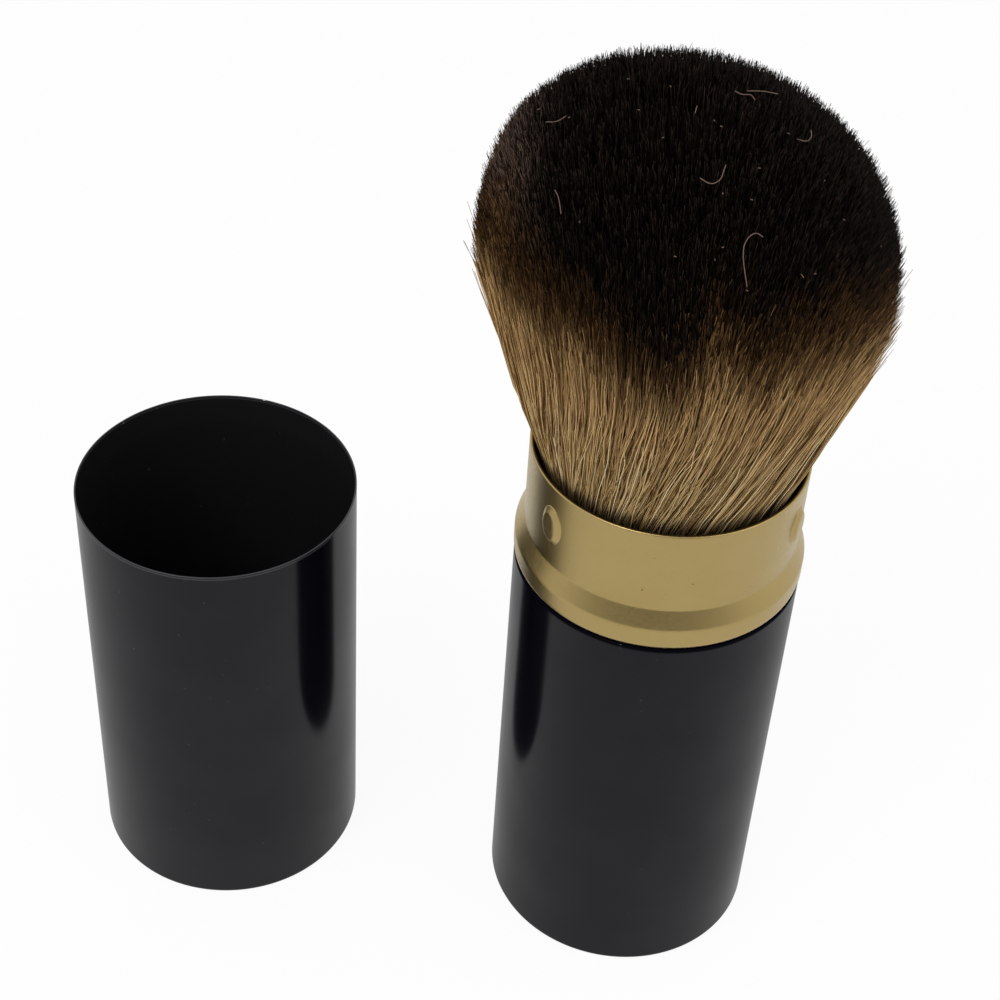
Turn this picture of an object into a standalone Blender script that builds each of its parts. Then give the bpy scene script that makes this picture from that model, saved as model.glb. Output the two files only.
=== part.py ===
"""Retractable makeup brush: a black barrel with a hair head, a gold collar that slides up over the
hair, and a loose black cap that stands beside it, mouth up.

Metres, +Z up. The origin is the centre of the barrel's flat base, and the brush's axis is Z.
"""

import math

import bmesh
import bpy
from mathutils import Matrix

MM = 0.001

# Shared by several pieces
body_radius = 17.0 * MM  # outside of the barrel and of the cap, which are flush when closed
seat_gap = 0.3 * MM  # between pieces that rest on each other or are fixed together
running_gap = 0.2 * MM  # round pieces that slide
merge_distance = 0.0005 * MM
overrun = 1.0 * MM  # how far a cutter passes the surface that it opens
facets = 64  # round the barrel, the collar and the cap
inner_facets = 32  # round the pieces inside them
smooth_angle = math.radians(30)

# Barrel
barrel_height = 57.0 * MM
barrel_wall = 0.55 * MM
barrel_floor = 0.9 * MM
barrel_edge_radius = 0.7 * MM

# Liner, the plastic tube in the barrel
liner_gap = 0.15 * MM
liner_wall = 0.6 * MM
liner_lip_depth = 0.5 * MM
liner_lip_height = 7.0 * MM

# Base plug, under the liner and the post
plug_flange_height = 1.2 * MM
plug_height = 6.2 * MM
socket_depth = 2.6 * MM

# Collar, one formed sheet
collar_wall = 0.45 * MM
cap_clearance = 0.4 * MM  # between the band and the cap's bore
band_height = 11.0 * MM
ledge_height = 2.0 * MM
shoulder_height = 3.0 * MM
shoulder_stand = 0.15 * MM  # how far the shoulder stands past the barrel
shoulder_edge_radius = 1.0 * MM
shoulder_top_radius = 0.45 * MM
shoulder_top_turn = 60  # degrees of the rounding between the shoulder's side and the ledge

# Oval bosses on the band, which grip the cap
boss_count = 3
boss_width = 3.8 * MM
boss_height = 5.6 * MM
boss_rise = 5.6 * MM  # of a boss's centre above the crease between the band and the ledge
boss_first_angle = math.radians(-144)
boss_sides = 20
boss_foot_share = 0.6  # of the boss's size, where it ends inside the wall
boss_profile_shares = ((0.84, 1.0), (0.64, 1.0), (0.5, 0.4))  # of its half size and of its rise

# Slider at the skirt's lower end, and the soft ring in its groove
slider_flange_height = 4.0 * MM
slider_spigot_height = 5.0 * MM
slider_foot_gap = 8.3 * MM  # below the slider when the collar is down, which sets its travel
slider_wall = 0.9 * MM
groove_depth = 0.8 * MM
ring_gap = 0.1 * MM
ring_sides = 8

# Core post
post_wall = 1.5 * MM
post_floor = 4.0 * MM
spigot_radius = 6.0 * MM

# Screw
screw_radius = 1.2 * MM
screw_head_radius = 2.6 * MM
screw_head_height = 1.3 * MM
screw_grip = 2.6 * MM  # its length in the post
slot_width = 0.6 * MM
slot_depth = 0.7 * MM
slot_length_share = 0.7  # of the head's diameter

# Ferrule
ferrule_wall = 0.4 * MM
ferrule_height = 16.0 * MM
ferrule_clearance = 0.35 * MM  # to the slider that passes over it
ferrule_depth = 11.3 * MM  # of its mouth below the open collar's rim

# Hair
strand_count = 360
strand_sides = 3
backing_thickness = 1.6 * MM
root_sink_share = 0.25  # of the backing's thickness, how deep a strand's root goes into it
hair_radius = 22.3 * MM
hair_neck_gap = 0.9 * MM  # between the hair and the band's bore at the rim
hair_widest_rise = 23.0 * MM  # of the widest place above the collar's rim
hair_top_rise = 43.7 * MM
hair_dome_power = 2.6
strand_width_share = 0.74  # of the strands' spacing
strand_knee_share = 0.8  # where a strand starts to taper, between the rim and its tip
strand_knee_width_share = 0.9
flare_bulge_share = 0.25

# Cap
cap_height = 57.6 * MM
cap_wall = 0.55 * MM
cap_floor = 0.9 * MM
cap_edge_radius = 0.7 * MM
cap_stand_gap = 19.85 * MM  # between the barrel's wall and the cap's
cap_stand_angle = math.radians(173)

# Shares used by more than one outline
rim_chamfer_share = 0.25  # of a sheet's thickness

# Radii, worked out from the outside in
barrel_bore = body_radius - barrel_wall
liner_radius = barrel_bore - liner_gap
liner_bore = liner_radius - liner_wall
lip_bore = liner_bore - liner_lip_depth
skirt_radius = lip_bore - running_gap
skirt_bore = skirt_radius - collar_wall
slider_radius = liner_bore - running_gap
slider_spigot_radius = skirt_bore - seat_gap
slider_bore = slider_spigot_radius - slider_wall
post_radius = slider_bore - running_gap
ferrule_radius = slider_bore - ferrule_clearance
ferrule_bore = ferrule_radius - ferrule_wall
root_radius = ferrule_bore - seat_gap
cap_bore = body_radius - cap_wall
band_radius = cap_bore - cap_clearance
band_bore = band_radius - collar_wall
shoulder_radius = body_radius + shoulder_stand

# Heights, worked out from the table up
plug_low = barrel_floor + seat_gap
plug_top = plug_low + plug_height
liner_low = plug_low + plug_flange_height + seat_gap
liner_top = barrel_height
lip_low = liner_top - liner_lip_height
shoulder_low = barrel_height + seat_gap
crease_height = shoulder_low + shoulder_height + ledge_height
rim_height = crease_height + band_height
slider_low = plug_top + slider_foot_gap
slider_flange_top = slider_low + slider_flange_height
collar_travel = lip_low - seat_gap - slider_flange_top
skirt_low = slider_flange_top + seat_gap
ferrule_top = rim_height - ferrule_depth
ferrule_low = ferrule_top - ferrule_height
post_low = plug_top + seat_gap
post_top = ferrule_low - seat_gap
root_plug_low = ferrule_low + ferrule_wall + seat_gap
backing_top = ferrule_top - backing_thickness / 2
backing_low = backing_top - backing_thickness
root_plug_top = backing_low - seat_gap


def clear_scene():
    for old in list(bpy.data.objects):
        bpy.data.objects.remove(old, do_unlink=True)


def finish(name, colour, roughness, metallic=0.0):
    """A plain material in a piece's own colour."""
    material = bpy.data.materials.new(name)
    material.use_nodes = True
    shader = material.node_tree.nodes["Principled BSDF"]
    shader.inputs["Base Color"].default_value = (*colour, 1.0)
    shader.inputs["Roughness"].default_value = roughness
    shader.inputs["Metallic"].default_value = metallic
    return material


def body_empty(name, place=(0.0, 0.0, 0.0)):
    """The empty that a group of pieces moves with, on the axis that it slides along."""
    empty = bpy.data.objects.new(name, None)
    empty.location = place
    bpy.context.scene.collection.objects.link(empty)
    return empty


def add_piece(name, bm, material, parent=None):
    mesh = bpy.data.meshes.new(name)
    bmesh.ops.recalc_face_normals(bm, faces=bm.faces)
    bm.to_mesh(mesh)
    bm.free()
    mesh.materials.append(material)
    mesh.shade_smooth()
    mesh.set_sharp_from_angle(angle=smooth_angle)
    piece = bpy.data.objects.new(name, mesh)
    piece.parent = parent
    bpy.context.scene.collection.objects.link(piece)
    return piece


def spun(outline, steps=inner_facets):
    """A bmesh of an outline of (radius, height) points turned once round Z. An outline that starts
    and ends on the axis is left open there, and any other is closed into a ring."""
    bm = bmesh.new()
    corners = [bm.verts.new((radius, 0.0, height)) for radius, height in outline]
    pairs = list(zip(corners, corners[1:]))
    if outline[0][0] > 0.0:
        pairs.append((corners[-1], corners[0]))
    edges = [bm.edges.new(pair) for pair in pairs]
    bmesh.ops.spin(
        bm,
        geom=corners + edges,
        cent=(0.0, 0.0, 0.0),
        axis=(0.0, 0.0, 1.0),
        angle=2 * math.pi,
        steps=steps,
        use_merge=True,
    )
    bmesh.ops.remove_doubles(bm, verts=bm.verts, dist=merge_distance)
    return bm


def arc(centre, radius, start, end, steps):
    """Points of (radius, height) on an arc, by its angles in degrees."""
    angles = [math.radians(start + (end - start) * i / steps) for i in range(steps + 1)]
    return [(centre[0] + radius * math.cos(a), centre[1] + radius * math.sin(a)) for a in angles]


def inner_side(outline, wall):
    """The other side of a sheet whose outer side runs from top to bottom, with mitred corners."""
    turned = []
    for i, (radius, height) in enumerate(outline):
        before = outline[max(i - 1, 0)]
        after = outline[min(i + 1, len(outline) - 1)]
        normals = []
        for start, end in ((before, (radius, height)), ((radius, height), after)):
            run = math.hypot(end[0] - start[0], end[1] - start[1])
            if run > 0.0:
                normals.append(((end[1] - start[1]) / run, -(end[0] - start[0]) / run))
        across = sum(n[0] for n in normals), sum(n[1] for n in normals)
        scale = wall * len(normals) / (across[0] ** 2 + across[1] ** 2)
        turned.append((radius + across[0] * scale, height + across[1] * scale))
    return turned[::-1]


def cup_outline(radius, wall, floor, height, edge_radius):
    """A drawn cup with a flat closed end at zero height and a lightly broken rim."""
    chamfer = wall * rim_chamfer_share
    base_edge = arc((radius - edge_radius, edge_radius), edge_radius, -90, 0, 4)
    rim = [
        (radius, height - chamfer),
        (radius - chamfer, height),
        (radius - wall + chamfer, height),
        (radius - wall, height - chamfer),
    ]
    return [(0.0, 0.0)] + base_edge + rim + [(radius - wall, floor), (0.0, floor)]


def cut(piece, cutter, operation="DIFFERENCE"):
    """Cuts or joins a hidden guide piece, which stays in the file as a wire."""
    cutter.hide_render = True
    cutter.display_type = "WIRE"
    modifier = piece.modifiers.new(operation.lower(), "BOOLEAN")
    modifier.operation = operation
    modifier.solver = "EXACT"
    modifier.object = cutter


def barrel_shell(material, parent):
    outline = cup_outline(body_radius, barrel_wall, barrel_floor, barrel_height, barrel_edge_radius)
    add_piece("barrel_shell", spun(outline, facets), material, parent)


def barrel_liner(material, parent):
    outline = [
        (liner_radius, liner_top),
        (liner_radius, liner_low),
        (liner_bore, liner_low),
        (liner_bore, lip_low),
        (lip_bore, lip_low),
        (lip_bore, liner_top),
    ]
    add_piece("barrel_liner", spun(outline), material, parent)


def base_plug(material, parent):
    """A stepped disc with a socket for the post and a counterbored hole for the screw."""
    flange_top = plug_low + plug_flange_height
    socket_radius = spigot_radius + seat_gap
    hole_radius = screw_radius + seat_gap
    counterbore_radius = screw_head_radius + seat_gap
    counterbore_top = plug_low + screw_head_height + 2 * seat_gap
    outline = [
        (liner_radius, flange_top),
        (liner_radius, plug_low),
        (counterbore_radius, plug_low),
        (counterbore_radius, counterbore_top),
        (hole_radius, counterbore_top),
        (hole_radius, plug_top - socket_depth),
        (socket_radius, plug_top - socket_depth),
        (socket_radius, plug_top),
        (liner_bore - seat_gap, plug_top),
        (liner_bore - seat_gap, flange_top),
    ]
    add_piece("base_plug", spun(outline), material, parent)


def core_post(material, parent):
    """An open-topped plastic cup with a spigot below and a pilot hole for the screw."""
    spigot_low = plug_top - socket_depth + seat_gap
    floor_top = post_low + post_floor
    pilot_radius = screw_radius + ring_gap
    outline = [
        (post_radius, post_top),
        (post_radius, post_low),
        (spigot_radius, post_low),
        (spigot_radius, spigot_low),
        (pilot_radius, spigot_low),
        (pilot_radius, floor_top),
        (post_radius - post_wall, floor_top),
        (post_radius - post_wall, post_top),
    ]
    add_piece("core_post", spun(outline), material, parent)


def core_screw(material, parent):
    head_low = plug_low + seat_gap
    head_top = head_low + screw_head_height
    tip = plug_top - socket_depth + seat_gap + screw_grip
    outline = [
        (0.0, head_low),
        (screw_head_radius, head_low),
        (screw_head_radius, head_top),
        (screw_radius, head_top),
        (screw_radius, tip),
        (0.0, tip),
    ]
    screw = add_piece("core_screw", spun(outline), material, parent)
    slot_length = 2 * screw_head_radius * slot_length_share
    slot_span = overrun + slot_depth
    for i in range(2):
        bm = bmesh.new()
        size = Matrix.Diagonal((slot_length, slot_width, slot_span, 1.0))
        turn = Matrix.Rotation(math.pi / 2 * i, 4, "Z")
        lift = Matrix.Translation((0.0, 0.0, head_low + slot_depth - slot_span / 2))
        bmesh.ops.create_cube(bm, size=1.0, matrix=lift @ turn @ size)
        cut(screw, add_piece(f"screw_slot_cutter_{i}", bm, material, parent))


def ferrule(material, parent):
    outline = [
        (0.0, ferrule_low),
        (ferrule_radius, ferrule_low),
        (ferrule_radius, ferrule_top),
        (ferrule_bore, ferrule_top),
        (ferrule_bore, ferrule_low + ferrule_wall),
        (0.0, ferrule_low + ferrule_wall),
    ]
    add_piece("ferrule", spun(outline), material, parent)


def hair_root_plug(material, parent):
    outline = [
        (0.0, root_plug_low),
        (root_radius, root_plug_low),
        (root_radius, root_plug_top),
        (0.0, root_plug_top),
    ]
    add_piece("hair_root_plug", spun(outline), material, parent)


def hair_envelope(height):
    """The hair head's outer radius at a height, up to its widest place."""
    neck_radius = band_bore - hair_neck_gap
    if height < rim_height:
        along = (height - backing_top) / (rim_height - backing_top)
        return root_radius + (neck_radius - root_radius) * max(along, 0.0)
    along = min((height - rim_height) / hair_widest_rise, 1.0)
    eased = along * (1 + flare_bulge_share * (1 - along))
    return neck_radius + (hair_radius - neck_radius) * eased


def strand_tip_height(share):
    """Where the strand at this share of the radius meets the dome."""
    dome = (1 - share**hair_dome_power) ** (1 / hair_dome_power)
    return rim_height + hair_widest_rise + (hair_top_rise - hair_widest_rise) * dome


def add_strand(bm, share, angle, root_height):
    """One tapering strand, whose place at every height is the same share of the envelope."""
    tip = strand_tip_height(share)
    knee = rim_height + (tip - rim_height) * strand_knee_share
    spacing_share = strand_width_share / math.sqrt(strand_count)
    rings = []
    for height, width in ((root_height, 1.0), (rim_height, 1.0), (knee, strand_knee_width_share)):
        reach = hair_envelope(height)
        strand_radius = reach * spacing_share * width
        centre = share * (reach - strand_radius)
        ring = []
        for i in range(strand_sides):
            turn = angle + 2 * math.pi * i / strand_sides
            x = centre * math.cos(angle) + strand_radius * math.cos(turn)
            y = centre * math.sin(angle) + strand_radius * math.sin(turn)
            ring.append(bm.verts.new((x, y, height)))
        rings.append(ring)
    reach = hair_envelope(tip) * share
    point = bm.verts.new((reach * math.cos(angle), reach * math.sin(angle), tip))
    bm.faces.new(rings[0][::-1])
    for low, high in zip(rings, rings[1:]):
        for i in range(strand_sides):
            j = (i + 1) % strand_sides
            bm.faces.new((low[i], low[j], high[j], high[i]))
    for i in range(strand_sides):
        bm.faces.new((rings[-1][i], rings[-1][(i + 1) % strand_sides], point))


def bristles(material, parent):
    """The strands, set out like a sunflower's seeds and fused to the top slice of the root resin."""
    outline = [
        (0.0, backing_low),
        (root_radius, backing_low),
        (root_radius, backing_top),
        (0.0, backing_top),
    ]
    backing = add_piece("bristles", spun(outline), material, parent)
    golden_angle = math.pi * (3 - math.sqrt(5))
    root_height = backing_top - backing_thickness * root_sink_share
    bm = bmesh.new()
    for i in range(strand_count):
        share = math.sqrt((i + 0.5) / strand_count)
        add_strand(bm, share, golden_angle * i, root_height)
    cut(backing, add_piece("strand_guide", bm, material, parent), "UNION")


def collar_outline():
    """The collar's outer side from its rim down to the end of its skirt."""
    ring_top = shoulder_low + shoulder_height
    ledge_end = shoulder_radius - shoulder_top_radius
    top_round = arc(
        (ledge_end, ring_top - shoulder_top_radius), shoulder_top_radius, shoulder_top_turn, 0, 3
    )
    bottom_round = arc(
        (shoulder_radius - shoulder_edge_radius, shoulder_low + shoulder_edge_radius),
        shoulder_edge_radius,
        0,
        -90,
        5,
    )
    return (
        [(band_radius, rim_height), (band_radius, crease_height)]
        + top_round
        + bottom_round
        + [(skirt_radius, shoulder_low), (skirt_radius, skirt_low)]
    )


def boss_guide(angle, material, parent):
    """An oval button with a dished face, wrapped on the band and sunk half way into its wall."""
    sink = -collar_wall / 2
    rings = [(boss_foot_share, sink), (1.0, sink), (1.0, 0.0)]
    rings += [(share, rise * cap_clearance) for share, rise in boss_profile_shares]
    bm = bmesh.new()
    loops = []
    for share, lift in rings:
        loop = []
        for i in range(boss_sides):
            turn = 2 * math.pi * i / boss_sides
            across = share * boss_width / 2 * math.cos(turn)
            up = share * boss_height / 2 * math.sin(turn)
            around = angle + across / band_radius
            radius = band_radius + lift
            height = crease_height + boss_rise + up
            loop.append(bm.verts.new((radius * math.cos(around), radius * math.sin(around), height)))
        loops.append(loop)
    bm.faces.new(loops[0])
    bm.faces.new(loops[-1])
    for low, high in zip(loops, loops[1:]):
        for i in range(boss_sides):
            j = (i + 1) % boss_sides
            bm.faces.new((low[i], low[j], high[j], high[i]))
    return add_piece(f"boss_guide_{math.degrees(angle):.0f}", bm, material, parent)


def collar_shell(material, parent):
    outer = collar_outline()
    outline = outer + inner_side(outer, collar_wall)
    collar = add_piece("collar_shell", spun(outline, facets), material, parent)
    for i in range(boss_count):
        angle = boss_first_angle + 2 * math.pi * i / boss_count
        cut(collar, boss_guide(angle, material, parent), "UNION")


def slider_ring(material, parent):
    """A flange that runs in the liner, with a groove, and a spigot fixed in the skirt."""
    groove_height = groove_depth + 2 * ring_gap
    groove_low = slider_low + (slider_flange_height - groove_height) / 2
    groove_floor = slider_radius - groove_depth
    spigot_top = skirt_low + slider_spigot_height
    outline = [
        (slider_spigot_radius, spigot_top),
        (slider_spigot_radius, slider_flange_top),
        (slider_radius, slider_flange_top),
        (slider_radius, groove_low + groove_height),
        (groove_floor, groove_low + groove_height),
        (groove_floor, groove_low),
        (slider_radius, groove_low),
        (slider_radius, slider_low),
        (slider_bore, slider_low),
        (slider_bore, spigot_top),
    ]
    add_piece("slider_ring", spun(outline), material, parent)


def friction_ring(material, parent):
    """A soft ring of round section between the groove's floor and the liner."""
    inner = slider_radius - groove_depth + ring_gap
    outer = liner_bore - ring_gap
    section_radius = min((outer - inner) / 2, groove_depth / 2)
    centre = (outer - section_radius, slider_low + slider_flange_height / 2)
    outline = arc(centre, section_radius, 0, -360, ring_sides)[:-1]
    add_piece("friction_ring", spun(outline), material, parent)


def cap_shell(material, parent):
    outline = cup_outline(body_radius, cap_wall, cap_floor, cap_height, cap_edge_radius)
    add_piece("cap_shell", spun(outline, facets), material, parent)


def main():
    clear_scene()
    black = finish("satin_black_anodised", (0.018, 0.019, 0.021), 0.35, 0.6)
    gold = finish("satin_gold_anodised", (0.39, 0.29, 0.11), 0.38, 1.0)
    bare = finish("bare_aluminium", (0.6, 0.6, 0.6), 0.4, 1.0)
    steel = finish("zinc_plated_steel", (0.5, 0.5, 0.5), 0.3, 1.0)
    white_plastic = finish("white_plastic", (0.7, 0.7, 0.68), 0.5)
    black_plastic = finish("black_plastic", (0.03, 0.03, 0.03), 0.5)
    soft_rubber = finish("soft_rubber", (0.05, 0.05, 0.05), 0.7)
    resin = finish("amber_resin", (0.25, 0.15, 0.06), 0.4)
    hair = finish("two_tone_hair", (0.16, 0.1, 0.05), 0.6)

    handle = body_empty("handle")
    barrel_shell(black, handle)
    barrel_liner(white_plastic, handle)
    base_plug(black_plastic, handle)
    core_post(white_plastic, handle)
    core_screw(steel, handle)
    ferrule(bare, handle)
    hair_root_plug(resin, handle)
    bristles(hair, handle)

    collar = body_empty("collar")
    collar["travel_m"] = collar_travel  # up from this, its lowest place
    collar_shell(gold, collar)
    slider_ring(black_plastic, collar)
    friction_ring(soft_rubber, collar)

    stand_distance = 2 * body_radius + cap_stand_gap
    cap_x = stand_distance * math.cos(cap_stand_angle)
    cap_y = stand_distance * math.sin(cap_stand_angle)
    cap = body_empty("cap", (cap_x, cap_y, 0.0))
    cap_shell(black, cap)


main()
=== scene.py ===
"""The looks of a retractable makeup brush and its cap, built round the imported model.

Metres, +Z up. The brush's axis is Z, and the cap stands beside it at -X.
"""

from collections import namedtuple
import math

import bmesh
import bpy
from mathutils import Matrix, Vector


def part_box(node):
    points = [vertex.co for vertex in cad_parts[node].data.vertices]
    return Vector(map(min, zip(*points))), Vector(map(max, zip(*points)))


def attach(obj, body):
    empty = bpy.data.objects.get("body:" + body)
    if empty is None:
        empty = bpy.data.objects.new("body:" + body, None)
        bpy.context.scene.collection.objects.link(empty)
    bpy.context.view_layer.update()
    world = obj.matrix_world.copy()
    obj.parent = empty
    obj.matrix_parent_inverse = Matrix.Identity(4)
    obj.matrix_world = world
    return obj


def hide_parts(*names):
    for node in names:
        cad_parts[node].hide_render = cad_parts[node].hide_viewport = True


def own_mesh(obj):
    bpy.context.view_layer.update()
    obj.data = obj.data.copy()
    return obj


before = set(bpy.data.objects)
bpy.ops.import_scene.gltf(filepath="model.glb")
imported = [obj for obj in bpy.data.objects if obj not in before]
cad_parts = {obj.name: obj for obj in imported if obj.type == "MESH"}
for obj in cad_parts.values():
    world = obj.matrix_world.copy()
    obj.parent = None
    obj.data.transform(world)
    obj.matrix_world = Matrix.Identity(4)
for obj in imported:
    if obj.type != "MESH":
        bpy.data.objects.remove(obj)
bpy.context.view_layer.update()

MM = 0.001

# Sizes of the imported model, whose rims the sheet pieces stand a little above
barrel_rim_lift = 0.3 * MM
collar_rim_lift = 0.4 * MM
barrel_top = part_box("barrel_shell")[1]
collar_bottom, collar_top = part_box("collar_shell")
cap_bottom, cap_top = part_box("cap_shell")
root_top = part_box("hair_root_plug")[1]
ferrule_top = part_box("ferrule")[1]
body_radius = barrel_top.x
barrel_height = barrel_top.z + barrel_rim_lift
cap_radius = (cap_top.x - cap_bottom.x) / 2
cap_height = cap_top.z
cap_place = Vector(((cap_bottom.x + cap_top.x) / 2, (cap_bottom.y + cap_top.y) / 2, 0.0))
rim_height = collar_top.z + collar_rim_lift
skirt_low = collar_bottom.z

# Turned pieces
facets = 256
merge_distance = 0.0005 * MM
hold_distance = 0.12 * MM  # of the rows of points that keep a rounding from shading the wall beside it
rounding_steps = 6

# Barrel and cap, two drawn cups
cup_wall = 0.55 * MM
cup_floor = 0.9 * MM
cup_edge_rounding = 0.7 * MM
cup_rim_taper = 4.0 * MM
cap_rim_wall = 0.2 * MM

# Collar, one formed sheet
collar_wall = 0.45 * MM
skirt_radius = 15.0 * MM
band_radius = 16.08 * MM
band_height = 11.0 * MM
ledge_height = 2.4 * MM
shoulder_radius = body_radius + 0.1 * MM
shoulder_edge_rounding = 0.85 * MM
shoulder_top_rounding = 1.3 * MM
crease_rounding = 0.5 * MM
shoulder_gap = 0.05 * MM  # that shows above the barrel's rim
collar_rim_rounding = 0.18 * MM

# Oval bosses on the band
boss_count = 3
boss_width = 3.6 * MM
boss_height = 5.3 * MM
boss_lift = 0.42 * MM
boss_rise = 5.6 * MM  # of its centre above the crease
boss_first_turn = math.radians(-144.5)
boss_sides = 48
boss_face_share = 0.66  # of its width, within which its face is flat
boss_profile = [  # shares of its width and of its lift, from its middle out and back
    (0.0, 1.0),
    (0.3, 1.0),
    (0.6, 1.0),
    (0.66, 0.98),
    (0.71, 0.88),
    (0.95, 0.1),
    (1.0, 0.03),
    (1.02, -0.4),
    (0.0, -0.4),
]

# Hair head
hair_radius = 21.95 * MM
hair_skew = 0.3 * MM  # more at +X, less at -X
hair_neck_radius = 15.0 * MM
hair_widest_rise = 23.3 * MM  # above the collar's rim
hair_tilt = 2.0 * MM  # of the widest place, lower at +X
hair_top_rise = 44.8 * MM
hair_lean = 1.0 * MM  # towards -X, at the widest place
hair_root_height = ferrule_top.z - 0.8 * MM
flare_bulge = 0.22
flare_skew = 0.17
dome_power = 2.65
dome_skew = 0.45
sector_count = 16
sector_seed_step = 100
map_height = hair_top_rise + rim_height - hair_root_height + 4.0 * MM
map_spread = 0.002
core_share = 0.52  # of the hair's width
strand_radius = 0.07 * MM
twist_turn = 0.28  # of the strands round the axis, from the rim up to twist_height
twist_height = 26.0 * MM
lock_turn = 2 * math.pi / 150
lock_pull = 0.45  # how far a lock's strands come together
lock_evenness = 0.6  # of a tip's shortness, how much is its strand's own and not its lock's
lock_seed = 51
sway_width = 2.2 * MM  # to either side, and half of it up or down the slope
lean_width = 1.2 * MM
sway_turns = 9.0  # how fast the sway changes round the axis
sway_rises = 45.0  # and up it
sway_scale = 1.6
loosening_height = 9.0 * MM  # above the rim, over which the strands come free
ripple_width = 0.15 * MM
ripple_length = 4.6 * MM
stray_drift = 0.16  # of the rise, for the most stray strand
taper_start = 0.72
tip_thickness = 0.35
dark_shaft_power = 0.1  # that crowds the rings of a strand with a dark shaft near its tip

# Where the hair turns from tan to black
change_rise = 29.5 * MM  # above the collar's rim
lock_unevenness = 12.0 * MM
strand_unevenness = 6.0 * MM
change_shifts = [  # a direction, how narrow the shift is, and how far it goes
    (math.radians(-100), 0.93, -3.5 * MM),
    (math.radians(-94), 0.997, -2.0 * MM),
    (math.radians(-86), 0.997, 4.8 * MM),
    (math.radians(-72), 0.985, -0.8 * MM),
    (math.radians(-160), 0.85, 1.5 * MM),
    (math.radians(-12), 0.85, -4.0 * MM),
]
painted_side_light = 0.55  # painted light, that the black hair is paler by towards -X
painted_side_light_reach = (0.66, 1.02)  # of the hair's radius

# Layers of strands. Their tips lie between two shares of the dome's height. A strand has a length,
# falls short of the dome by some of its shortness, and flicks out at its tip. A layer's painted depth
# shade darkens its deeper strands towards the dome's top, and shaft is a strand's tone below its tip,
# a painted shade under the lit tip. The count is for each sector.
StrandLayer = namedtuple(
    "StrandLayer",
    "title seed_step rings lowest highest length shortness flick deepness shaft count",
)
down_to_root = 1.0
strand_layers = [
    StrandLayer("Shell", 0.0, 12, 0.0, 0.3, down_to_root, 3.5 * MM, 0.8 * MM, 2.0, 1.0, 500),
    StrandLayer("Filler", 10.0, 6, 0.15, 0.6, down_to_root, 2.0 * MM, 0.0, 1.3, 1.0, 400),
    StrandLayer("Dome", 20.0, 2, 0.15, 1.0, 11.0 * MM, 1.8 * MM, 0.6 * MM, 0.0, 0.3, 2400),
    StrandLayer("Stray", 30.0, 12, 0.0, 0.25, down_to_root, 5.0 * MM, 1.5 * MM, 0.0, 1.0, 8),
]

# Camera, at the photograph's angle: it looks down over the brush, turned a little to the left
photo_side = 1000.0
camera_place = Vector((-19.0, -180.93, 220.97)) * MM
camera_down = 0.7165
camera_roll = 0.0651
camera_turn = Matrix.Rotation(math.pi / 2 - camera_down, 4, "X") @ Matrix.Rotation(camera_roll, 4, "Z")
camera_sensor = 36.0
camera_lens = 73.889

# Lint caught on the dome, placed by pixels read in a picture of the photograph's size and angle
lint_radius = 0.05 * MM
lint_sides = 5
lint_tone = 0.97
lint_lift = 0.35 * MM
dome_step = 0.03 * MM  # in which a sight line is followed down to the dome
speck_length = 0.25 * MM
fibre_pixels = {
    "long hook": [(763, 237), (756, 232), (747, 238), (742, 252), (747, 287)],
    "short hook": [(700, 178), (711, 185), (721, 180), (724, 170), (726, 165)],
    "fork": [(735, 91), (742, 95), (751, 94), (755, 100)],
    "curl": [(747, 91), (763, 91), (773, 93), (778, 94)],
    "upright": [(555, 190), (559, 198), (561, 214)],
    "right bend": [(797, 139), (807, 142), (812, 137), (811, 130)],
    "left bend": [(546, 122), (557, 122), (566, 116)],
    "tick": [(697, 106), (695, 113)],
    "grain": [(787, 133), (790, 134)],
    "dash": [(801, 274), (804, 278)],
}
speck_pixels = [
    (758, 168), (824, 181), (671, 87), (640, 110), (570, 117), (714, 120), (720, 126), (662, 138),
    (723, 194), (753, 200), (724, 247), (715, 259), (674, 256), (814, 274), (881, 247), (748, 291),
    (540, 109), (580, 221), (843, 219), (627, 79),
]


class Wire:
    """An output of a node tree's node. Sums with it add Math nodes to its tree."""

    def __init__(self, tree, socket):
        self.tree = tree
        self.socket = socket

    def math(self, operation, *others):
        return self.tree.add("ShaderNodeMath", {"operation": operation}, [self, *others])

    def __add__(self, other):
        return self.math("ADD", other)

    __radd__ = __add__

    def __sub__(self, other):
        return self.math("SUBTRACT", other)

    def __rsub__(self, other):
        return self.tree.add("ShaderNodeMath", {"operation": "SUBTRACT"}, [other, self])

    def __mul__(self, other):
        return self.math("MULTIPLY", other)

    __rmul__ = __mul__

    def __truediv__(self, other):
        return self.math("DIVIDE", other)

    def __rtruediv__(self, other):
        return self.tree.add("ShaderNodeMath", {"operation": "DIVIDE"}, [other, self])

    def __pow__(self, other):
        return self.math("POWER", other)

    def __neg__(self):
        return self * -1.0

    def step(self, low, high, start=0.0, end=1.0):
        """Goes smoothly from start to end while this goes from low to high."""
        values = {"Value": self, "From Min": low, "From Max": high, "To Min": start, "To Max": end}
        return self.tree.add("ShaderNodeMapRange", {"interpolation_type": "SMOOTHSTEP"}, values)


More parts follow.
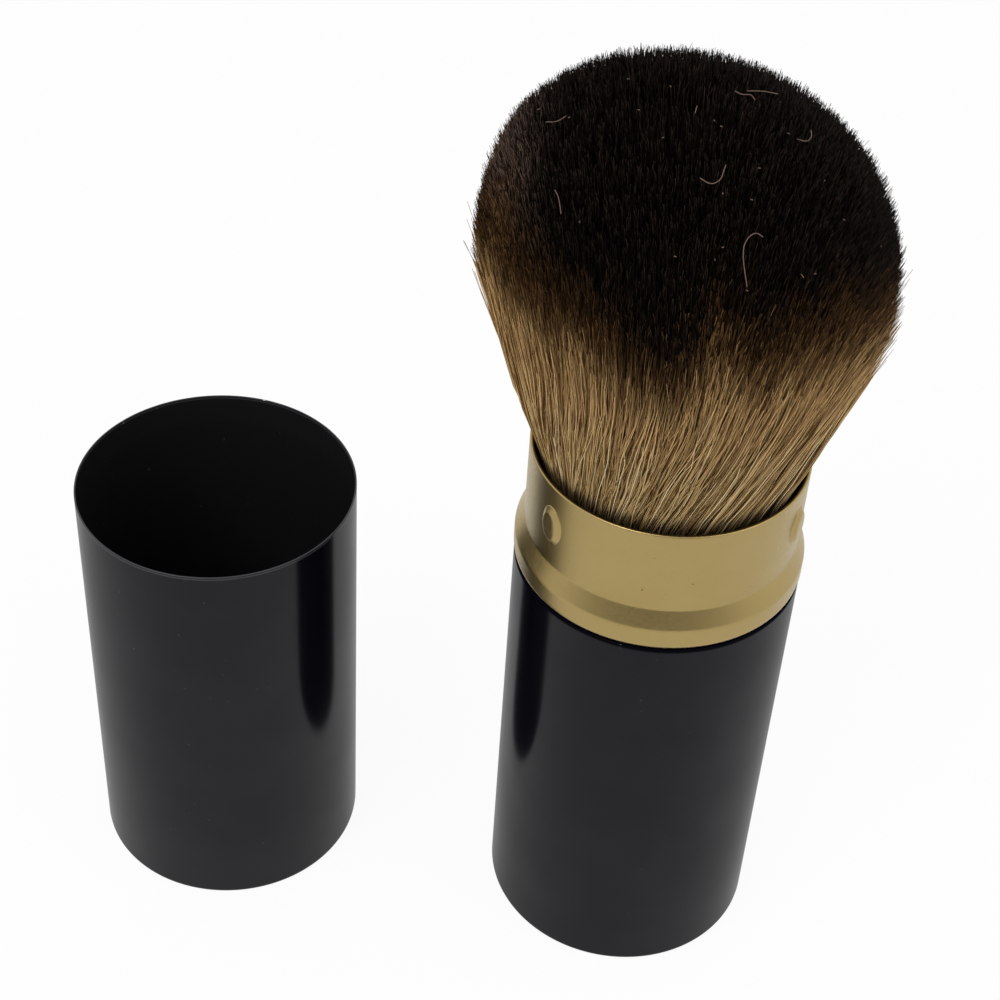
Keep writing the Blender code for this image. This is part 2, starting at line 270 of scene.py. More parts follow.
class Tree:
    """A node tree, and the one method that adds a node to it, sets it up and wires it."""

    def __init__(self, tree):
        self.tree = tree

    def add(self, kind, settings=None, inputs=(), output=None):
        node = self.tree.nodes.new(kind)
        for name, value in (settings or {}).items():
            if name == "stops":
                self.fill_ramp(node.color_ramp, value)
            else:
                setattr(node, name, value)
        pairs = inputs.items() if isinstance(inputs, dict) else enumerate(inputs)
        for key, value in pairs:
            socket = self.find(node.inputs, key)
            if isinstance(value, Wire):
                self.tree.links.new(value.socket, socket)
            else:
                socket.default_value = value
        return Wire(self, self.find(node.outputs, output)) if node.outputs else node

    @staticmethod
    def find(sockets, key):
        shown = [s for s in sockets if s.enabled]
        if key is None:
            return shown[0]
        if isinstance(key, int):
            return shown[key]
        return next(s for s in shown if s.name == key)

    @staticmethod
    def fill_ramp(ramp, stops):
        while len(ramp.elements) < len(stops):
            ramp.elements.new(1.0)
        for element, (place, colour) in zip(ramp.elements, stops):
            element.position = place
            element.color = (*colour, 1.0)

    def mix(self, share, first, second):
        """A colour between two others."""
        ends = [c if isinstance(c, Wire) else (*c, 1.0) for c in (first, second)]
        inputs = {"Factor": share, "A": ends[0], "B": ends[1]}
        return self.add("ShaderNodeMix", {"data_type": "RGBA"}, inputs)

    def vector(self, x, y, z):
        return self.add("ShaderNodeCombineXYZ", None, [x, y, z])

    def part(self, vector, axis):
        return self.add("ShaderNodeSeparateXYZ", None, [vector], axis)

    def noise(self, vector, scale, detail=2.0, output="Fac"):
        inputs = {"Vector": vector, "Scale": scale, "Detail": detail}
        return self.add("ShaderNodeTexNoise", None, inputs, output)


class Finish(Tree):
    """A material with one Principled BSDF, whose sockets are set by name."""

    def __init__(self, name, **numbers):
        self.material = bpy.data.materials.new(name)
        self.material.use_nodes = True
        super().__init__(self.material.node_tree)
        self.shader = self.tree.nodes["Principled BSDF"]
        for socket, value in numbers.items():
            self.set(socket.replace("_", " "), value)

    def set(self, socket, value):
        if isinstance(value, Wire):
            self.tree.links.new(value.socket, self.shader.inputs[socket])
        elif isinstance(value, tuple):
            self.shader.inputs[socket].default_value = (*value, 1.0)
        else:
            self.shader.inputs[socket].default_value = value

    def place(self):
        return self.add("ShaderNodeTexCoord", output="Object")

    def bump(self, height, distance, strength=1.0):
        inputs = {"Height": height, "Distance": distance, "Strength": strength}
        self.set("Normal", self.add("ShaderNodeBump", None, inputs))

    def attribute(self, name):
        return self.add("ShaderNodeAttribute", {"attribute_name": name}, output="Fac")


def distance_from(finish, place, centre):
    """How far a point lies from the upright line through centre."""
    x = finish.part(place, "X") - centre.x
    y = finish.part(place, "Y") - centre.y
    return (x * x + y * y) ** 0.5


def black_shell():
    """Satin black anodising, with faint scuffs and specks, bare metal where an edge is worn, a painted
    highlight along the cap's rim, and painted shade just below the barrel's rim.
    """
    finish = Finish("black_shell", Specular_IOR_Level=0.0, Coat_Roughness=0.14, Coat_IOR=1.5)
    place = finish.place()
    height = finish.part(place, "Z")
    to_rim = (height - barrel_height).math("ABSOLUTE")
    to_cap_rim = (height - cap_height).math("ABSOLUTE")
    edge = to_rim.math("MINIMUM", to_cap_rim).step(0.03 * MM, 0.12 * MM, 1.0, 0.0)
    from_cap = distance_from(finish, place, cap_place)
    at_cap = from_cap.step(cap_radius + 1.0 * MM, cap_radius + 2.0 * MM, 1.0, 0.0)
    inside = from_cap.step(cap_radius - 0.22 * MM, cap_radius - 0.18 * MM, 1.0, 0.0)
    chips = finish.noise(place, 800.0, 2.0).step(0.7, 0.74)
    specks = finish.noise(place, 1500.0, 1.0).step(0.785, 0.81)
    cloud = finish.noise(place, 90.0, 4.0)
    worn = edge * chips * 0.8
    colour = finish.mix(cloud, (0.0016, 0.0017, 0.0036), (0.0024, 0.0025, 0.0048))
    colour = finish.mix(inside, colour, (0.0115, 0.0117, 0.0125))
    colour = finish.mix(specks * 0.6, colour, (0.05, 0.05, 0.048))
    # Painted highlight: a lighter grey line along the cap's rim.
    colour = finish.mix(edge * at_cap, colour, (0.045, 0.046, 0.05))
    finish.set("Base Color", finish.mix(worn, colour, (0.4, 0.38, 0.35)))
    # Painted shade: the coat is taken off in a band just below the barrel's rim, so it stays black like
    # the shade under the gold shoulder.
    painted_rim_shade = (1.0 - at_cap) * to_rim.step(0.2 * MM, 0.6 * MM, 0.95, 0.0)
    finish.set("Coat Weight", (cloud.step(0.3, 0.75, 0.355, 0.405) + at_cap * 0.05) * (1.0 - painted_rim_shade))
    finish.set("Roughness", cloud.step(0.3, 0.75, 0.3, 0.4))
    finish.set("Metallic", worn)
    return finish.material


def gold_shell():
    """Satin gold anodised sheet, with a fine grain and a few dark specks."""
    finish = Finish("gold_shell", Metallic=1.0)
    place = finish.place()
    grain = finish.noise(place, 4000.0, 2.0)
    cloud = finish.noise(place, 160.0, 3.0)
    specks = finish.noise(place, 1300.0, 1.0).step(0.785, 0.82)
    colour = finish.mix(cloud, (0.375, 0.275, 0.105), (0.415, 0.31, 0.13))
    finish.set("Base Color", finish.mix(specks * 0.7, colour, (0.1, 0.07, 0.03)))
    finish.set("Roughness", grain.step(0.3, 0.7, 0.3, 0.4))
    finish.bump(grain, 0.004 * MM, 0.5)
    return finish.material


def plastic(name, dark, light, roughness):
    """Moulded plastic with a fine spark-eroded texture and slight flow marks."""
    finish = Finish(name)
    place = finish.place()
    grain = finish.noise(place, 3000.0, 3.0)
    flow = finish.noise(place, 120.0, 4.0)
    finish.set("Base Color", finish.mix(flow, dark, light))
    finish.set("Roughness", grain.step(0.3, 0.7, roughness - 0.06, roughness + 0.06))
    finish.bump(grain, 0.01 * MM, 0.4)
    return finish.material


def bare_metal(name, dark, light, roughness, lines):
    """Bare or plated sheet with fine lines round its axis, stretched by this many times."""
    finish = Finish(name, Metallic=1.0)
    place = finish.place()
    height = finish.part(place, "Z")
    rings = finish.noise(finish.vector(0.0, 0.0, height * lines), 300.0, 4.0)
    stain = finish.noise(place, 200.0, 3.0)
    finish.set("Base Color", finish.mix(stain, dark, light))
    finish.set("Roughness", rings.step(0.3, 0.7, roughness - 0.08, roughness + 0.08))
    finish.bump(rings, 0.004 * MM, 0.5)
    return finish.material


def hair_finish():
    """Hair, tan below and black above, told by each strand's own tone and its height above the rim, and
    darker at the rim, partly the roots' own tone and partly painted shade.
    """
    finish = Finish("hair", Specular_IOR_Level=0.05)
    tone = finish.attribute("tone")
    rise = finish.attribute("rise")
    blond = finish.add(
        "ShaderNodeValToRGB",
        {"stops": [
            (0.0, (0.13, 0.062, 0.016)),
            (0.35, (0.385, 0.24, 0.092)),
            (0.75, (0.67, 0.48, 0.225)),
            (1.0, (0.85, 0.695, 0.44)),
        ]},
        [tone],
    )
    amber = finish.mix(tone, (0.14, 0.057, 0.011), (0.84, 0.565, 0.255))
    brown = finish.mix(tone, (0.035, 0.014, 0.004), (0.2, 0.1, 0.035))
    black = finish.mix(tone ** 4.0, (0.002, 0.0012, 0.0009), (0.2, 0.133, 0.105))
    colour = finish.mix(rise.step(6.0 * MM, change_rise - 8.0 * MM), blond, amber)
    colour = finish.mix(rise.step(change_rise - 8.5 * MM, change_rise + 1.5 * MM), colour, brown)
    colour = finish.mix(rise.step(change_rise - 2.0 * MM, change_rise + 7.0 * MM), colour, black)
    # Darker near the rim: partly the roots' own darker tone, partly painted shade down in the collar.
    root_tone_and_shade = rise.step(0.3 * MM, 3.2 * MM, 0.75, 0.0)
    finish.set("Base Color", finish.mix(root_tone_and_shade, colour, (0.02, 0.012, 0.008)))
    finish.set("Roughness", tone.step(0.0, 1.0, 0.5, 0.62))
    return finish.material


def rounded(corners, steps=rounding_steps):
    """An outline of (radius, height) points through corners of (radius, height, rounding)."""
    outline = []
    for i, (radius, height, rounding) in enumerate(corners):
        here = Vector((radius, height))
        if not rounding:
            outline.append(here)
            continue
        back = (Vector(corners[i - 1][:2]) - here).normalized()
        on = (Vector(corners[(i + 1) % len(corners)][:2]) - here).normalized()
        half = back.angle(on) / 2
        centre = here + (back + on).normalized() * rounding / math.sin(half)
        start = here + back * rounding / math.tan(half) - centre
        turn = math.copysign(math.pi - 2 * half, on.x * back.y - on.y * back.x)
        for k in range(steps + 1):
            outline.append(centre + Matrix.Rotation(turn * k / steps, 2) @ start)
    return held(outline)


def held(outline):
    """The outline with a point close to each end of its long straight stretches."""
    full = []
    for here, after in zip(outline, outline[1:] + outline[:1]):
        full.append(here)
        run = after - here
        if run.length > 4 * hold_distance:
            full.append(here + run.normalized() * hold_distance)
            full.append(after - run.normalized() * hold_distance)
    return full


def turned(name, outline, material, place=Vector()):
    """A closed mesh of an outline turned round the upright line through place. An outline that
    starts on the axis also ends on it."""
    bm = bmesh.new()
    corners = [bm.verts.new((radius, 0.0, height)) for radius, height in outline]
    pairs = list(zip(corners, corners[1:]))
    if outline[0][0] > 0.0:
        pairs.append((corners[-1], corners[0]))
    edges = [bm.edges.new(pair) for pair in pairs]
    bmesh.ops.spin(
        bm,
        geom=corners + edges,
        cent=(0.0, 0.0, 0.0),
        axis=(0.0, 0.0, 1.0),
        angle=2 * math.pi,
        steps=facets,
        use_merge=True,
    )
    bmesh.ops.remove_doubles(bm, verts=bm.verts, dist=merge_distance)
    bmesh.ops.recalc_face_normals(bm, faces=bm.faces)
    bmesh.ops.translate(bm, verts=bm.verts, vec=place)
    return added(name, bm, material)


def added(name, bm, material):
    mesh = bpy.data.meshes.new(name)
    bm.to_mesh(mesh)
    bm.free()
    mesh.materials.append(material)
    mesh.shade_smooth()
    piece = bpy.data.objects.new(name, mesh)
    bpy.context.scene.collection.objects.link(piece)
    return piece


def cup(name, radius, height, rim_wall, material, place=Vector()):
    """A drawn cup, closed and flat below, with its edges rounded and its wall thinner at the rim."""
    bore = radius - cup_wall
    corners = [
        (0.0, 0.0, 0.0),
        (radius, 0.0, cup_edge_rounding),
        (radius, height, rim_wall * 0.4),
        (radius - rim_wall, height, rim_wall * 0.4),
        (bore, height - cup_rim_taper, 0.0),
        (bore, cup_floor, cup_edge_rounding),
        (0.0, cup_floor, 0.0),
    ]
    outline = rounded(corners)
    return turned(name, outline[: len(outline) - 2], material, place)


def collar_sleeve(material):
    """The gold sheet: band, creased ledge, rolled shoulder, and the skirt inside the barrel."""
    crease = rim_height - band_height
    ring_top = crease - ledge_height
    ring_low = barrel_height + shoulder_gap
    wall = collar_wall
    corners = [
        (band_radius, rim_height, collar_rim_rounding),
        (band_radius - wall, rim_height, collar_rim_rounding),
        (band_radius - wall, crease - wall / 2, crease_rounding + wall),
        (shoulder_radius - wall, ring_top - wall / 2, shoulder_top_rounding / 2),
        (shoulder_radius - wall, ring_low + wall, shoulder_edge_rounding - wall),
        (skirt_radius - wall, ring_low + wall, wall / 2),
        (skirt_radius - wall, skirt_low, collar_rim_rounding),
        (skirt_radius, skirt_low, collar_rim_rounding),
        (skirt_radius, ring_low, 0.3 * MM),
        (shoulder_radius, ring_low, shoulder_edge_rounding),
        (shoulder_radius, ring_top, shoulder_top_rounding),
        (band_radius, crease, crease_rounding),
    ]
    return turned("collar_sleeve", rounded(corners), material)


def boss_mesh(material):
    """One oval boss at +X: a flat face, a sloping flank, and a foot sunk in the band's wall."""
    bm = bmesh.new()
    loops = []
    for share, lift in boss_profile:
        loop = []
        for i in range(boss_sides if share else 1):
            turn = 2 * math.pi * i / boss_sides
            across = share * boss_width / 2 * math.cos(turn) / band_radius
            up = rim_height - band_height + boss_rise + share * boss_height / 2 * math.sin(turn)
            radius = band_radius + lift * boss_lift
            if share < boss_face_share:
                radius /= math.cos(across)
            loop.append(bm.verts.new((radius * math.cos(across), radius * math.sin(across), up)))
        loops.append(loop)
    for low, high in zip(loops, loops[1:]):
        for i in range(boss_sides):
            j = (i + 1) % boss_sides
            corners = [low[i % len(low)], low[j % len(low)], high[j % len(high)], high[i % len(high)]]
            bm.faces.new(list(dict.fromkeys(corners)))
    bmesh.ops.recalc_face_normals(bm, faces=bm.faces)
    return added("collar_bosses", bm, material)


def group_tree(name, inputs):
    """An empty geometry tree with these inputs, a name and a kind each."""
    group = bpy.data.node_groups.new(name, "GeometryNodeTree")
    for title, kind in inputs:
        group.interface.new_socket(name=title, in_out="INPUT", socket_type=f"NodeSocket{kind}")
    group.interface.new_socket(name="Mesh", in_out="OUTPUT", socket_type="NodeSocketGeometry")
    return Tree(group)


def made_mesh(piece, tree, values):
    """Gives the piece the mesh that the tree makes of it with these values."""
    modifier = piece.modifiers.new("made", "NODES")
    modifier.node_group = tree.tree
    for item in tree.tree.interface.items_tree:
        if item.in_out == "INPUT" and item.name in values:
            modifier[item.identifier] = values[item.name]
    bpy.context.view_layer.update()
    evaluated = piece.evaluated_get(bpy.context.evaluated_depsgraph_get())
    mesh = bpy.data.meshes.new_from_object(evaluated)
    piece.modifiers.remove(modifier)
    piece.data = mesh
    return piece


def boss_ring_tree(material):
    """Copies of a boss, evenly round the axis."""
    tree = group_tree("boss_ring", [("Boss", "Geometry"), ("Count", "Int"), ("First turn", "Float")])
    count = tree.add("NodeGroupInput", output="Count")
    first = tree.add("NodeGroupInput", output="First turn")
    boss = tree.add("NodeGroupInput", output="Boss")
    points = tree.add("GeometryNodePoints", None, {"Count": count})
    index = tree.add("GeometryNodeInputIndex")
    turn = first + index * (2 * math.pi) / count
    inputs = {"Points": points, "Instance": boss, "Rotation": tree.vector(0.0, 0.0, turn)}
    copies = tree.add("GeometryNodeInstanceOnPoints", None, inputs)
    real = tree.add("GeometryNodeRealizeInstances", None, [copies])
    painted = tree.add("GeometryNodeSetMaterial", None, {"Geometry": real, "Material": material})
    tree.add("NodeGroupOutput", None, [painted])
    return tree


def random_draw(tree, low, high, seed, of=None):
    """A random number of each point, or of each whole number that is given."""
    inputs = {"Min": low, "Max": high, "Seed": seed}
    if of is not None:
        inputs["ID"] = of
    return tree.add("FunctionNodeRandomValue", {"data_type": "FLOAT"}, inputs)


def stored(tree, geometry, name, value, kind="FLOAT"):
    inputs = {"Geometry": geometry, "Name": name, "Value": value}
    return tree.add("GeometryNodeStoreNamedAttribute", {"data_type": kind}, inputs)


def named(tree, name, kind="FLOAT"):
    return tree.add("GeometryNodeInputNamedAttribute", {"data_type": kind}, {"Name": name})


def flare(tree, height, turn_cos):
    """The hair head's radius at a height in one direction, if the flare went on past the widest."""
    widest_rise = hair_widest_rise - hair_tilt * turn_cos
    along = (height - rim_height) / widest_rise
    above = along.math("MAXIMUM", 0.0)
    below = along.math("MINIMUM", 0.0)
    widest = hair_radius + hair_skew * turn_cos
    bulge = flare_bulge - flare_skew * turn_cos
    neck_slope = (hair_neck_radius - root_top.x) / (rim_height - hair_root_height)
    out = (widest - hair_neck_radius) * above * (1.0 + bulge * (1.0 - above))
    return hair_neck_radius + out + below * widest_rise * neck_slope


def strand_mesh(tree, layer):
    """One of the layers of tapering strands."""
    count = tree.add("NodeGroupInput", output=f"{layer.title} strands")
    sector_turn = tree.add("NodeGroupInput", output="Sector turn")
    thickness = tree.add("NodeGroupInput", output="Strand radius")
    seed = tree.add("NodeGroupInput", output="Seed") + layer.seed_step
    half_sector = math.pi / sector_count
    points = tree.add("GeometryNodePoints", None, {"Count": count})
    points = stored(tree, points, "tip_share", random_draw(tree, layer.lowest, layer.highest, seed))
    turn = sector_turn + random_draw(tree, -half_sector, half_sector, seed + 1.0)
    points = stored(tree, points, "turn", turn)
    # Painted shade: the higher a strand's tip, the deeper the strand lies and the darker its tone.
    light = 1.0 - named(tree, "tip_share") * layer.deepness
    points = stored(tree, points, "tone", random_draw(tree, 0.0, 1.0, seed + 2.0) * light)
    points = stored(tree, points, "phase", random_draw(tree, 0.0, 2 * math.pi, seed + 3.0))
    points = stored(tree, points, "stray", random_draw(tree, -1.0, 1.0, seed + 4.0))
    points = stored(tree, points, "shortfall", random_draw(tree, 0.0, 1.0, seed + 5.0))
    sizes = {"Vertices": 3, "Side Segments": layer.rings, "Radius": 1.0, "Depth": 1.0}
    strand = tree.add("GeometryNodeMeshCylinder", None, sizes)
    copies = tree.add("GeometryNodeInstanceOnPoints", None, {"Points": points, "Instance": strand})
    real = tree.add("GeometryNodeRealizeInstances", None, [copies])

    unit = tree.add("GeometryNodeInputPosition")
    along = (tree.part(unit, "Z") + 0.5) ** (1.0 if layer.shaft == 1.0 else dark_shaft_power)
    share = named(tree, "tip_share")
    turn = named(tree, "turn")
    phase = named(tree, "phase")
    stray = named(tree, "stray")
    # Painted shade: below the tip, the shaft takes the layer's shaft share of the tone, so the tip looks
    # lit.
    tone = named(tree, "tone") * along.step(0.9, 1.0, layer.shaft, 1.0)
    turn_cos = turn.math("COSINE")
    turn_sin = turn.math("SINE")

    widest = rim_height + hair_widest_rise - hair_tilt * turn_cos
    power = dome_power - dome_skew * turn_cos
    dome = (1.0 - share * share) ** (1.0 / power)
    tip = widest + (rim_height + hair_top_rise - widest) * share ** (2 / dome_power)
    lock = (turn / lock_turn).math("FLOOR")
    to_lock = (lock + 0.5) * lock_turn - turn
    lock_shortfall = random_draw(tree, 0.0, 1.0, lock_seed, lock)
    lock_flick = random_draw(tree, -0.3, 1.0, lock_seed + 1, lock)
    shortfall = named(tree, "shortfall") * lock_evenness + lock_shortfall * (1.0 - lock_evenness)
    tip = tip - (shortfall - 0.3) * layer.shortness
    reach = hair_radius + hair_skew * turn_cos
    place_share = dome * reach / flare(tree, tip, turn_cos)
    start = (tip - layer.length).math("MAXIMUM", hair_root_height)
    height = start + (tip - start) * along

    rise = height - rim_height
    loose = rise.step(0.0, loosening_height)
    spot_x = turn_cos * place_share * sway_turns
    spot_y = turn_sin * place_share * sway_turns
    spot = tree.vector(spot_x, spot_y, height * sway_rises)
    drift_here = tree.noise(spot, sway_scale, 2.0, "Color")
    ripple = (height * (2 * math.pi / ripple_length) + phase).math("SINE") * stray * ripple_width
    sway = (tree.part(drift_here, "X") - 0.5) * sway_width + ripple
    lean_in = (tree.part(drift_here, "Y") - 0.5) * lean_width
    drift = stray ** 3.0 * rise * stray_drift
    radius = flare(tree, height, turn_cos) * place_share + lean_in * loose
    radius = radius + along ** 6.0 * (lock_flick + stray * 0.6) * layer.flick
    untwisted = 1.0 - (rise / twist_height).math("MAXIMUM", 0.0).math("MINIMUM", 1.0)
    swing = turn - untwisted * untwisted * twist_turn + to_lock * lock_pull * along
    swing = swing + (sway * loose + drift) / radius.math("MAXIMUM", 2.0 * MM)
    taper = along.step(taper_start, 1.0, 1.0, tip_thickness) * thickness
    x = radius * swing.math("COSINE") - hair_lean * rise / hair_widest_rise * loose
    y = radius * swing.math("SINE")
    x = x + tree.part(unit, "X") * taper
    y = y + tree.part(unit, "Y") * taper
    moved = tree.add(
        "GeometryNodeSetPosition",
        None,
        {"Geometry": real, "Position": tree.vector(x, y, height)},
    )

    # Painted light: the black hair is paler towards the -X side, as though lit from there.
    side = (x / -hair_radius).step(*painted_side_light_reach)
    tone = tone + side * rise.step(change_rise, change_rise + 8.0 * MM) * painted_side_light
    moved = stored(tree, moved, "tone", tone.math("MINIMUM", 1.0))
    return with_hair_map(tree, moved, turn, named(tree, "tone"), unit)


def lint_layer(tree):
    """The lint, in the tone of the palest hair."""
    lint = stored(tree, tree.add("NodeGroupInput", output="Lint"), "tone", lint_tone)
    place = tree.add("GeometryNodeInputPosition")
    turn = tree.part(place, "Y").math("ARCTAN2", tree.part(place, "X"))
    return with_hair_map(tree, lint, turn, named(tree, "tone"), tree.add("GeometryNodeInputNormal"))


def with_hair_map(tree, strands, turn, tone, unit):
    """The strands with the height above the rim that their colours take, and a map of tone and height."""
    rise = tree.part(tree.add("GeometryNodeInputPosition"), "Z") - rim_height
    patch = tree.vector(turn.math("COSINE") * 6.0, turn.math("SINE") * 6.0, 0.0)
    shift = (tree.noise(patch, 1.3, 3.0) - 0.5) * lock_unevenness + (tone - 0.5) * strand_unevenness
    for middle, narrowness, height in change_shifts:
        shift = shift + (turn - middle).math("COSINE").step(narrowness, 1.0) * height
    rise = rise - shift * rise.step(change_rise * 0.4, change_rise * 0.7)
    strands = stored(tree, strands, "rise", rise)
    across = tone + tree.part(unit, "Y") * map_spread
    up = (rise + rim_height - hair_root_height) / map_height + tree.part(unit, "X") * map_spread
    place = tree.vector(across, up, 0.0)
    inputs = {"Geometry": strands, "Name": "OFBake", "Value": place}
    settings = {"data_type": "FLOAT2", "domain": "CORNER"}
    return tree.add("GeometryNodeStoreNamedAttribute", settings, inputs)


def hair_tree(material):
    inputs = [("Lint", "Geometry"), ("Seed", "Int"), ("Sector turn", "Float"), ("Strand radius", "Float")]
    inputs += [(f"{layer.title} strands", "Int") for layer in strand_layers]
    tree = group_tree("hair_strands", inputs)
    meshes = [strand_mesh(tree, layer) for layer in strand_layers]
    meshes.append(lint_layer(tree))
    joined = tree.tree.nodes.new("GeometryNodeJoinGeometry")
    for mesh in meshes:
        tree.tree.links.new(mesh.socket, joined.inputs[0])
    smooth = tree.add("GeometryNodeSetShadeSmooth", None, [Wire(tree, joined.outputs[0])])
    painted = tree.add("GeometryNodeSetMaterial", None, {"Geometry": smooth, "Material": material})
    tree.add("NodeGroupOutput", None, [painted])
    return tree


def softened(points):
    """The line of points with its corners cut twice over."""
    for _ in range(2):
        line = [points[0]]
        for here, after in zip(points, points[1:]):
            line.append(here.lerp(after, 0.25))
            line.append(here.lerp(after, 0.75))
        line.append(points[-1])
        points = line
    return points


def out_of_dome(point):
    """How far a point above the hair's widest place lies outside the dome, level with it."""
    rise = point.z - rim_height
    across = Vector((point.x + hair_lean * rise / hair_widest_rise, point.y))
    turn_cos = across.x / across.length
    widest_rise = hair_widest_rise - hair_tilt * turn_cos
    height_share = max(rise - widest_rise, 0.0) / (hair_top_rise - widest_rise)
    share = min(height_share, 1.0) ** (dome_power / 2)
    dome = (1.0 - share * share) ** (1.0 / (dome_power - dome_skew * turn_cos))
    return across.length - dome * (hair_radius + hair_skew * turn_cos)


def on_dome(pixel):
    """The place just over the dome that the camera sees at a pixel."""
    across = (pixel[0] / photo_side - 0.5) * camera_sensor
    up = (0.5 - pixel[1] / photo_side) * camera_sensor
    sight = (camera_turn @ Vector((across, up, -camera_lens))).normalized()
    here = camera_place + sight * (rim_height + hair_top_rise - camera_place.z) / sight.z
    while out_of_dome(here) > 0.0 and here.z > rim_height + hair_widest_rise:
        here = here + sight * dome_step
    return here - sight * lint_lift


def lint_runs():
    """Each fibre or speck of lint, as a line of points."""
    runs = [softened([on_dome(pixel) for pixel in line]) for line in fibre_pixels.values()]
    for i, pixel in enumerate(speck_pixels):
        here = on_dome(pixel)
        runs.append([here, here + Vector((math.cos(i), math.sin(i), 0.0)) * speck_length])
    return runs


def tube(bm, points, radius, sides):
    """A closed tube along the points."""
    turns = [2 * math.pi * k / sides for k in range(sides)]
    loops = []
    for k, here in enumerate(points):
        run = points[min(k + 1, len(points) - 1)] - points[max(k - 1, 0)]
        tilt = run.to_track_quat("Z", "Y")
        spokes = [tilt @ Vector((math.cos(turn), math.sin(turn), 0.0)) for turn in turns]
        loops.append([bm.verts.new(here + spoke * radius) for spoke in spokes])
    for low, high in zip(loops, loops[1:]):
        for k in range(sides):
            bm.faces.new((low[k - 1], low[k], high[k], high[k - 1]))
    bm.faces.new(loops[0])
    bm.faces.new(loops[-1])


def lint_mesh(name, runs, sector):
    """The lint that lies on one sector of the hair."""
    bm = bmesh.new()
    for points in runs:
        turn = math.atan2(points[0].y, points[0].x)
        if round(turn * sector_count / (2 * math.pi)) % sector_count == sector:
            tube(bm, points, lint_radius, lint_sides)
    bmesh.ops.recalc_face_normals(bm, faces=bm.faces)
    mesh = bpy.data.meshes.new(name)
    bm.to_mesh(mesh)
    bm.free()
    return mesh


def hair(material):
    """The hair head in sectors, one piece each on the handle, cut so that each could gather towards the
    axis as the collar slides up.
    """
    tree = hair_tree(material)
    runs = lint_runs()
    for i in range(sector_count):
        turn = 2 * math.pi * i / sector_count
        name = f"hair_{i:02d}"
        piece = bpy.data.objects.new(name, lint_mesh(f"lint_{i:02d}", runs, i))
        bpy.context.scene.collection.objects.link(piece)
        values = {"Seed": sector_seed_step * i, "Sector turn": turn, "Strand radius": strand_radius}
        values.update({f"{layer.title} strands": layer.count for layer in strand_layers})
        made_mesh(piece, tree, values)
        piece.data.name = name
        for spare in ("tip_share", "turn", "phase", "stray", "shortfall"):
            piece.data.attributes.remove(piece.data.attributes[spare])
        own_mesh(piece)
        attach(piece, "handle")
        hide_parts("bristles")


def hair_core(material):
    """The dense middle of the hair, too deep for single strands to be seen, in painted shade."""
    neck = hair_neck_radius * core_share
    widest = hair_radius * core_share
    corners = [
        (0.0, hair_root_height, 0.0),
        (neck, hair_root_height, 1.0 * MM),
        (neck, rim_height, 2.0 * MM),
        (widest, rim_height + hair_widest_rise, 4.0 * MM),
        (widest * 0.8, rim_height + hair_top_rise * 0.8, 4.0 * MM),
        (0.0, rim_height + hair_top_rise * 0.88, 0.0),
    ]
    core = turned("hair_core", rounded(corners)[:-2], material)
    # Painted shade: the core is coloured as the darkest black hair all the way up, for the deep middle.
    for name, value in (("tone", 0.0), ("rise", hair_top_rise)):
        stored_values = core.data.attributes.new(name, "FLOAT", "POINT")
        stored_values.data.foreach_set("value", [value] * len(core.data.vertices))
    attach(core, "handle")
    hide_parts("bristles")


def shells():
    black = black_shell()
    gold = gold_shell()
    barrel = cup("barrel", body_radius, barrel_height, cup_wall, black)
    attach(barrel, "handle")
    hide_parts("barrel_shell")
    cap = cup("cap", cap_radius, cap_height, cap_rim_wall, black, cap_place)
    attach(cap, "cap")
    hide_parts("cap_shell")
    sleeve = collar_sleeve(gold)
    bosses = boss_mesh(gold)
    values = {"Count": boss_count, "First turn": boss_first_turn}
    made_mesh(bosses, boss_ring_tree(gold), values)
    for piece in (sleeve, bosses):
        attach(piece, "collar")
        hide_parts("collar_shell")


def inner_finishes():
    """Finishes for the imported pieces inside, which keep their own shapes."""
    white = plastic("white_plastic", (0.62, 0.62, 0.6), (0.72, 0.72, 0.7), 0.45)
    black = plastic("black_plastic", (0.02, 0.02, 0.021), (0.034, 0.034, 0.034), 0.45)
    rubber = plastic("soft_rubber", (0.03, 0.03, 0.03), (0.06, 0.06, 0.058), 0.75)
    resin = plastic("root_resin", (0.16, 0.08, 0.03), (0.32, 0.2, 0.09), 0.4)
    bare = bare_metal("bare_aluminium", (0.56, 0.56, 0.57), (0.66, 0.66, 0.66), 0.38, 8.0)
    zinc = bare_metal("plated_steel", (0.44, 0.45, 0.47), (0.6, 0.61, 0.62), 0.3, 12.0)
    finishes = {
        "barrel_liner": white,
        "core_post": white,
        "base_plug": black,
        "slider_ring": black,
        "friction_ring": rubber,
        "hair_root_plug": resin,
        "ferrule": bare,
        "core_screw": zinc,
    }
    for node, material in finishes.items():
        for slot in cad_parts[node].material_slots:
            slot.link = "OBJECT"
            slot.material = material


# Stage
floor_size = 6.0
floor_drop = 0.03 * MM
shadow_share = 0.07  # of the floor's real shading that the camera sees
plain_light = 0.55
room_dimness = 0.95  # of the room in front, as metal mirrors it
lamp_aim = (0.0, 0.0, 0.06)


def seen_directly(tree):
    """1 for rays from the camera, a mirror or glass, and 0 for the rest."""
    camera_ray = tree.add("ShaderNodeLightPath", output="Is Camera Ray")
    glossy_ray = tree.add("ShaderNodeLightPath", output="Is Glossy Ray")
    through_ray = tree.add("ShaderNodeLightPath", output="Is Transmission Ray")
    return camera_ray.math("MAXIMUM", glossy_ray).math("MAXIMUM", through_ray)


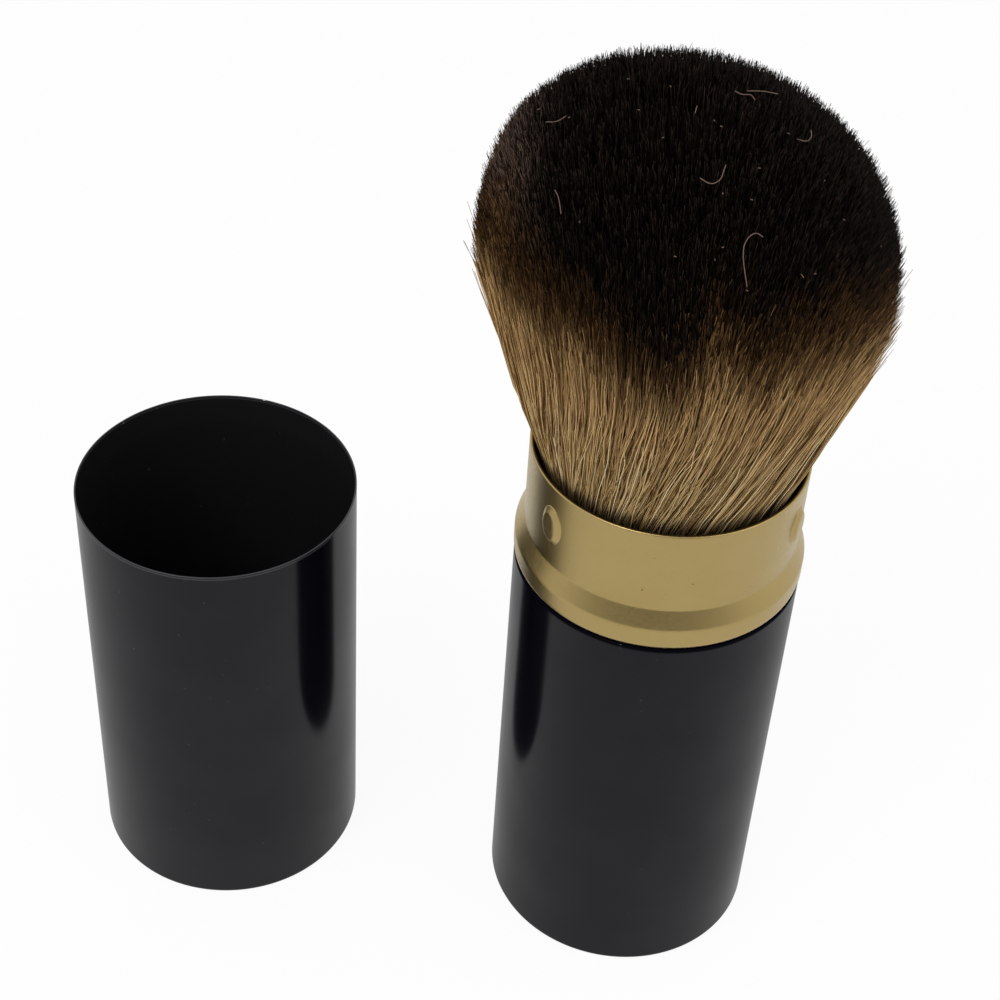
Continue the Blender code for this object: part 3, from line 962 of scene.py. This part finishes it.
def floor():
    material = bpy.data.materials.new("pale_floor")
    material.use_nodes = True
    tree = Tree(material.node_tree)
    tree.tree.nodes.clear()
    shaded = tree.add("ShaderNodeBsdfDiffuse", None, {"Color": (1.0, 1.0, 1.0, 1.0)})
    plain = tree.add("ShaderNodeEmission", None, {"Color": (1.0, 1.0, 1.0, 1.0), "Strength": 1.0})
    share = seen_directly(tree) * (1.0 - shadow_share)
    mixed = tree.add("ShaderNodeMixShader", None, [share, shaded, plain])
    tree.add("ShaderNodeOutputMaterial", None, [mixed])
    bm = bmesh.new()
    bmesh.ops.create_grid(bm, x_segments=1, y_segments=1, size=floor_size / 2)
    bmesh.ops.translate(bm, verts=bm.verts, vec=(0.0, 0.0, -floor_drop))
    added("floor", bm, material)


def surroundings():
    world = bpy.data.worlds.new("studio")
    world.use_nodes = True
    bpy.context.scene.world = world
    tree = Tree(world.node_tree)
    tree.tree.nodes.clear()
    seen = seen_directly(tree)
    mirrored = tree.add("ShaderNodeLightPath", output="Is Glossy Ray")
    direction = tree.add("ShaderNodeTexCoord", output="Generated")
    front = tree.part(direction, "Y").step(-0.1, -0.8)
    low = tree.part(direction, "Z").step(0.35, 0.8, 1.0, 0.0)
    strength = seen.step(0.0, 1.0, plain_light, 1.0) - mirrored * front * low * room_dimness
    white = tree.add("ShaderNodeBackground", None, {"Color": (1.0, 1.0, 1.0, 1.0), "Strength": strength})
    tree.add("ShaderNodeOutputWorld", None, [white])


def soft_lamp(name, place, aim, size, energy):
    lamp = bpy.data.lights.new(name, "AREA")
    lamp.shape = "DISK"
    lamp.size = size
    lamp.energy = energy
    holder = bpy.data.objects.new(name, lamp)
    holder.location = place
    holder.rotation_euler = (Vector(aim) - Vector(place)).to_track_quat("-Z", "Y").to_euler()
    bpy.context.scene.collection.objects.link(holder)


def camera():
    data = bpy.data.cameras.new("camera")
    data.sensor_width = camera_sensor
    data.lens = camera_lens
    data.clip_start = 1.0 * MM
    holder = bpy.data.objects.new("camera", data)
    holder.matrix_world = Matrix.Translation(camera_place) @ camera_turn
    bpy.context.scene.collection.objects.link(holder)
    bpy.context.scene.camera = holder


shells()
hair_material = hair_finish()
hair(hair_material)
hair_core(hair_material)
inner_finishes()
floor()
surroundings()
soft_lamp("key", (-0.35, -0.45, 0.75), lamp_aim, 0.5, 3.0)
soft_lamp("fill", (0.5, -0.3, 0.5), lamp_aim, 0.6, 1.2)
camera()
bpy.context.scene.view_settings.view_transform = "Standard"
